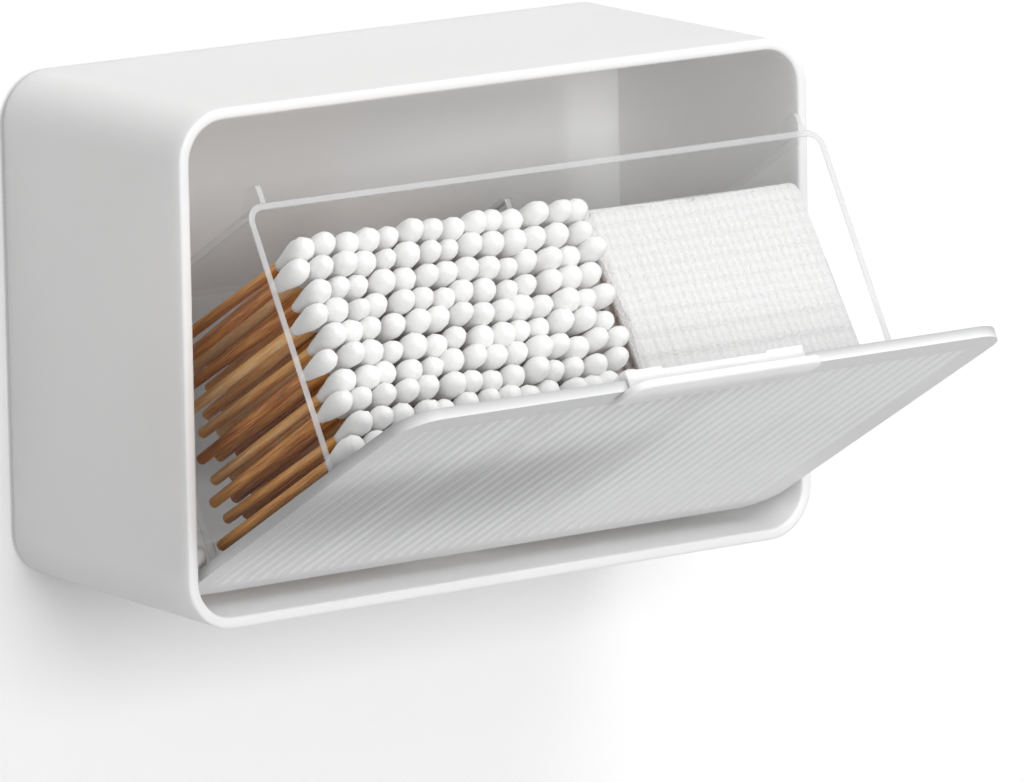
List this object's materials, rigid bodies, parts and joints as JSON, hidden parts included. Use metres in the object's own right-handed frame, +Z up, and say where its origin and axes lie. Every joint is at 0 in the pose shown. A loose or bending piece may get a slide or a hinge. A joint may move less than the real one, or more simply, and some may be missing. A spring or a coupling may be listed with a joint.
{
  "type": "wall-mounted cotton swab holder",
  "caption": "Wall-mounted white plastic box with a clear tilt-out tray, open and filled with bamboo cotton swabs and square cotton pads behind a frosted fluted front panel",
  "frame": {"origin": "centre of the rear face that is stuck to the wall", "axes": "+Y into the wall, +Z up, +X to the right when facing the front"},
  "size_m": [0.176, 0.1663, 0.12],
  "materials": {
    "white_plastic": "satin",
    "adhesive_foam": "matt foam",
    "frosted_panel": "frosted translucent",
    "clear_plastic": "clear, polished",
    "bamboo": "bare bamboo",
    "cotton_head": "soft cotton",
    "cotton_pad": "quilted cotton"
  },
  "bodies": {
    "case": {"casing": "white_plastic", "adhesive_sheet": "adhesive_foam"},
    "bin": {"tray": "clear_plastic", "front_panel": "frosted_panel", "divider": "clear_plastic", "handle": "white_plastic", "swab_sticks_01": "bamboo", "swab_sticks_02": "bamboo", "swab_sticks_03": "bamboo", "swab_sticks_04": "bamboo", "swab_sticks_05": "bamboo", "swab_sticks_06": "bamboo", "swab_sticks_07": "bamboo", "swab_sticks_08": "bamboo", "swab_sticks_09": "bamboo", "swab_sticks_10": "bamboo", "swab_heads_01": "cotton_head", "swab_heads_02": "cotton_head", "swab_heads_03": "cotton_head", "swab_heads_04": "cotton_head", "swab_heads_05": "cotton_head", "swab_heads_06": "cotton_head", "swab_heads_07": "cotton_head", "swab_heads_08": "cotton_head", "swab_heads_09": "cotton_head", "swab_heads_10": "cotton_head", "cotton_pad_01": "cotton_pad", "cotton_pad_02": "cotton_pad", "cotton_pad_03": "cotton_pad", "cotton_pad_04": "cotton_pad", "cotton_pad_05": "cotton_pad", "cotton_pad_06": "cotton_pad", "cotton_pad_07": "cotton_pad", "cotton_pad_08": "cotton_pad", "cotton_pad_09": "cotton_pad", "cotton_pad_10": "cotton_pad", "cotton_pad_11": "cotton_pad", "cotton_pad_12": "cotton_pad"}
  },
  "joints": [
    {"name": "tray_tilt", "type": "hinge", "parent": "case", "child": "bin", "pos_m": [0, -0.071, -0.0435], "axis": [1, 0, 0], "range_deg": [-60, 0]}
  ]
}
